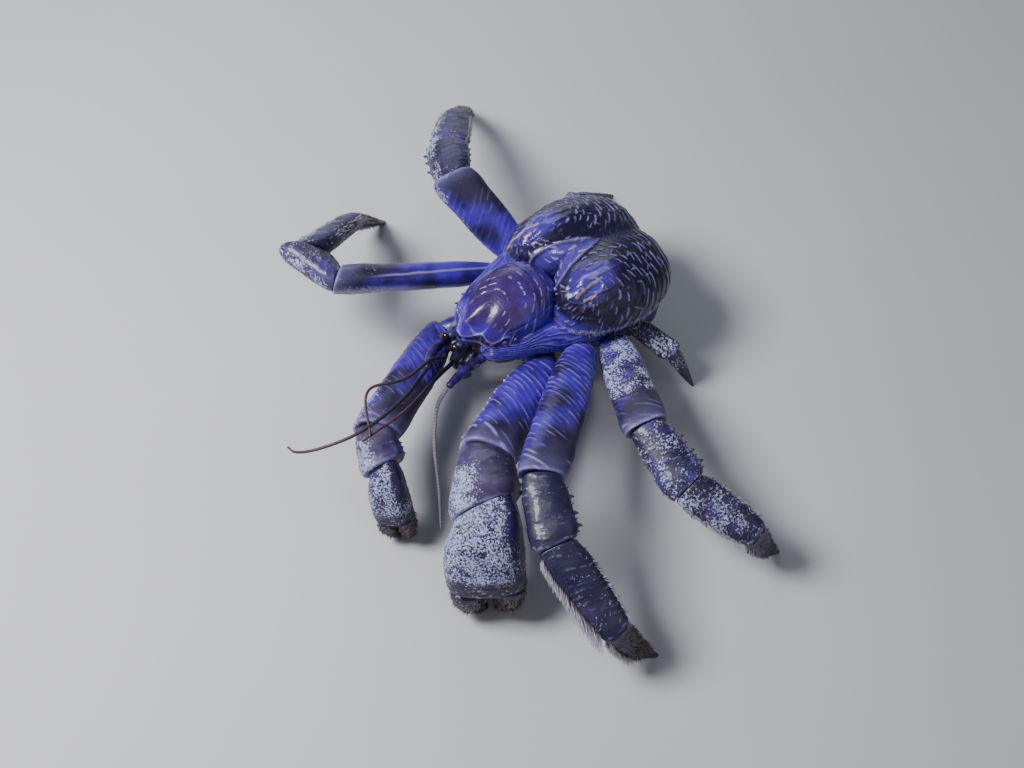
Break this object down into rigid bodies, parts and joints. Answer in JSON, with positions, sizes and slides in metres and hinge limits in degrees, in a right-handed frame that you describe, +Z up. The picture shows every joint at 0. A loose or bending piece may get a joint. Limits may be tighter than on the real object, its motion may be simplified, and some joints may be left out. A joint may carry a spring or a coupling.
{
  "type": "coconut crab model",
  "caption": "Still life-size model of a large land crab with unequal claws and long ribbed walking legs, in a climbing pose, standing on a floor.",
  "frame": {"origin": "under the middle of the bounding box, on the floor that the feet stand on", "axes": "+Z up, the crab faces -Y, its own left side is +X"},
  "size_m": [0.3768, 0.2764, 0.0849],
  "materials": {
    "shell": "hard limy shell, semi-gloss, violet blue with brown",
    "underside": "leathery and limy underside, dull",
    "limb": "hard limy shell of the limbs, semi-gloss, violet blue",
    "claw": "thick limy shell of the hands, dull, violet brown",
    "claw_tip": "dark horny foot tips",
    "eye": "glossy, nearly black",
    "flagellum": "thin jointed feelers, red-brown"
  },
  "bodies": {
    "root": {"carapace_shield": "shell", "carapace_rear": "shell", "flank_left": "shell", "flank_right": "shell", "thorax": "underside", "abdomen_1": "underside", "abdomen_2": "underside", "abdomen_3": "underside", "abdomen_4": "underside", "abdomen_5": "underside", "telson": "underside", "eyestalk_left": "limb", "eye_left": "eye", "maxilliped_left": "limb", "antenna_base_left": "limb", "antenna_flagellum_left": "flagellum", "antennule_left": "flagellum", "cheliped_left_base": "limb", "cheliped_left_merus": "limb", "cheliped_left_carpus": "limb", "cheliped_left_palm": "claw", "cheliped_left_finger": "claw", "leg2_left_base": "limb", "leg2_left_merus": "limb", "leg2_left_carpus": "limb", "leg2_left_propodus": "limb", "leg2_left_dactyl": "claw_tip", "leg3_left_base": "limb", "leg3_left_merus": "limb", "leg3_left_carpus": "limb", "leg3_left_propodus": "limb", "leg3_left_dactyl": "claw_tip", "leg4_left_base": "limb", "leg4_left_arm": "limb", "leg4_left_hand": "limb", "eyestalk_right": "limb", "eye_right": "eye", "maxilliped_right": "limb", "antenna_base_right": "limb", "antenna_flagellum_right": "flagellum", "antennule_right": "flagellum", "cheliped_right_base": "limb", "cheliped_right_merus": "limb", "cheliped_right_carpus": "limb", "cheliped_right_palm": "claw", "cheliped_right_finger": "claw", "leg2_right_base": "limb", "leg2_right_merus": "limb", "leg2_right_carpus": "limb", "leg2_right_propodus": "limb", "leg2_right_dactyl": "claw_tip", "leg3_right_base": "limb", "leg3_right_merus": "limb", "leg3_right_carpus": "limb", "leg3_right_propodus": "limb", "leg3_right_dactyl": "claw_tip", "leg4_right_base": "limb", "leg4_right_arm": "limb", "leg4_right_hand": "limb"}
  },
  "joints": []
}
